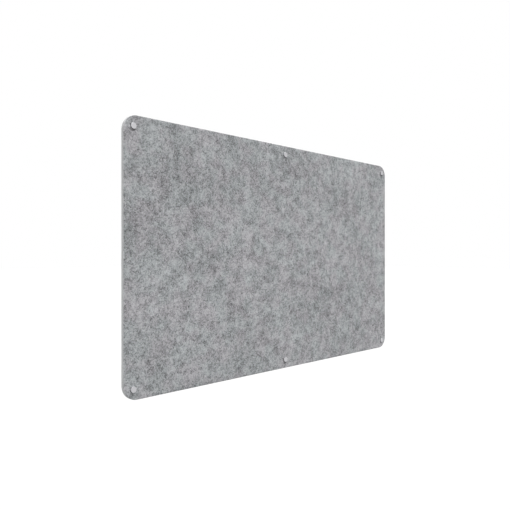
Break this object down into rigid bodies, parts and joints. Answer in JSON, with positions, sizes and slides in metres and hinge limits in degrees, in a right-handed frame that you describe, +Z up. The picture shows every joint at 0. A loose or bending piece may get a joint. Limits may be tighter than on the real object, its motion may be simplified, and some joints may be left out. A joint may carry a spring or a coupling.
{
  "type": "wall-mounted acoustic pinboard",
  "caption": "Rounded rectangular pressed felt board held off a wall by turned stand-off fixings with unscrewing caps.",
  "frame": {"origin": "centre of the six wall fixings, on the wall's face", "axes": "+X along the board to the right as seen from the front, +Y into the wall, +Z up; the felt's front faces -Y"},
  "size_m": [1.5, 0.07, 0.9],
  "materials": {
    "felt": "matte",
    "cap_metal": "satin",
    "barrel_metal": "satin",
    "clear_plastic": "satin",
    "bright_steel": "satin",
    "zinc_steel": "satin",
    "plug_nylon": "satin"
  },
  "bodies": {
    "board": {"felt_panel": "felt", "rear_washer_top_left": "clear_plastic", "barrel_top_left": "barrel_metal", "hanger_bolt_top_left": "zinc_steel", "wall_plug_top_left": "plug_nylon", "rear_washer_top_middle": "clear_plastic", "barrel_top_middle": "barrel_metal", "hanger_bolt_top_middle": "zinc_steel", "wall_plug_top_middle": "plug_nylon", "rear_washer_top_right": "clear_plastic", "barrel_top_right": "barrel_metal", "hanger_bolt_top_right": "zinc_steel", "wall_plug_top_right": "plug_nylon", "rear_washer_bottom_left": "clear_plastic", "barrel_bottom_left": "barrel_metal", "hanger_bolt_bottom_left": "zinc_steel", "wall_plug_bottom_left": "plug_nylon", "rear_washer_bottom_middle": "clear_plastic", "barrel_bottom_middle": "barrel_metal", "hanger_bolt_bottom_middle": "zinc_steel", "wall_plug_bottom_middle": "plug_nylon", "rear_washer_bottom_right": "clear_plastic", "barrel_bottom_right": "barrel_metal", "hanger_bolt_bottom_right": "zinc_steel", "wall_plug_bottom_right": "plug_nylon"},
    "loose_washer_top_left": {"front_washer_top_left": "clear_plastic"},
    "turning_cap_top_left": {"cap_top_left": "cap_metal", "stud_top_left": "bright_steel"},
    "loose_washer_top_middle": {"front_washer_top_middle": "clear_plastic"},
    "turning_cap_top_middle": {"cap_top_middle": "cap_metal", "stud_top_middle": "bright_steel"},
    "loose_washer_top_right": {"front_washer_top_right": "clear_plastic"},
    "turning_cap_top_right": {"cap_top_right": "cap_metal", "stud_top_right": "bright_steel"},
    "loose_washer_bottom_left": {"front_washer_bottom_left": "clear_plastic"},
    "turning_cap_bottom_left": {"cap_bottom_left": "cap_metal", "stud_bottom_left": "bright_steel"},
    "loose_washer_bottom_middle": {"front_washer_bottom_middle": "clear_plastic"},
    "turning_cap_bottom_middle": {"cap_bottom_middle": "cap_metal", "stud_bottom_middle": "bright_steel"},
    "loose_washer_bottom_right": {"front_washer_bottom_right": "clear_plastic"},
    "turning_cap_bottom_right": {"cap_bottom_right": "cap_metal", "stud_bottom_right": "bright_steel"}
  },
  "joints": [
    {"name": "come_out_top_left", "type": "slide", "parent": "board", "child": "loose_washer_top_left", "axis": [0, -1, 0], "range_m": [0, 0.0081]},
    {"name": "unscrew_top_left", "type": "hinge", "parent": "loose_washer_top_left", "child": "turning_cap_top_left", "pos_m": [-0.715, -0.034, 0.415], "axis": [0, -1, 0], "range_deg": [0, 2880]},
    {"name": "come_out_top_middle", "type": "slide", "parent": "board", "child": "loose_washer_top_middle", "axis": [0, -1, 0], "range_m": [0, 0.0081]},
    {"name": "unscrew_top_middle", "type": "hinge", "parent": "loose_washer_top_middle", "child": "turning_cap_top_middle", "pos_m": [0, -0.034, 0.415], "axis": [0, -1, 0], "range_deg": [0, 2880]},
    {"name": "come_out_top_right", "type": "slide", "parent": "board", "child": "loose_washer_top_right", "axis": [0, -1, 0], "range_m": [0, 0.0081]},
    {"name": "unscrew_top_right", "type": "hinge", "parent": "loose_washer_top_right", "child": "turning_cap_top_right", "pos_m": [0.715, -0.034, 0.415], "axis": [0, -1, 0], "range_deg": [0, 2880]},
    {"name": "come_out_bottom_left", "type": "slide", "parent": "board", "child": "loose_washer_bottom_left", "axis": [0, -1, 0], "range_m": [0, 0.0081]},
    {"name": "unscrew_bottom_left", "type": "hinge", "parent": "loose_washer_bottom_left", "child": "turning_cap_bottom_left", "pos_m": [-0.715, -0.034, -0.415], "axis": [0, -1, 0], "range_deg": [0, 2880]},
    {"name": "come_out_bottom_middle", "type": "slide", "parent": "board", "child": "loose_washer_bottom_middle", "axis": [0, -1, 0], "range_m": [0, 0.0081]},
    {"name": "unscrew_bottom_middle", "type": "hinge", "parent": "loose_washer_bottom_middle", "child": "turning_cap_bottom_middle", "pos_m": [0, -0.034, -0.415], "axis": [0, -1, 0], "range_deg": [0, 2880]},
    {"name": "come_out_bottom_right", "type": "slide", "parent": "board", "child": "loose_washer_bottom_right", "axis": [0, -1, 0], "range_m": [0, 0.0081]},
    {"name": "unscrew_bottom_right", "type": "hinge", "parent": "loose_washer_bottom_right", "child": "turning_cap_bottom_right", "pos_m": [0.715, -0.034, -0.415], "axis": [0, -1, 0], "range_deg": [0, 2880]}
  ],
  "couplings": [
    {"joint": "come_out_top_left", "follows": "unscrew_top_left", "m_per_rad": 0.00015915},
    {"joint": "come_out_top_middle", "follows": "unscrew_top_middle", "m_per_rad": 0.00015915},
    {"joint": "come_out_top_right", "follows": "unscrew_top_right", "m_per_rad": 0.00015915},
    {"joint": "come_out_bottom_left", "follows": "unscrew_bottom_left", "m_per_rad": 0.00015915},
    {"joint": "come_out_bottom_middle", "follows": "unscrew_bottom_middle", "m_per_rad": 0.00015915},
    {"joint": "come_out_bottom_right", "follows": "unscrew_bottom_right", "m_per_rad": 0.00015915}
  ]
}
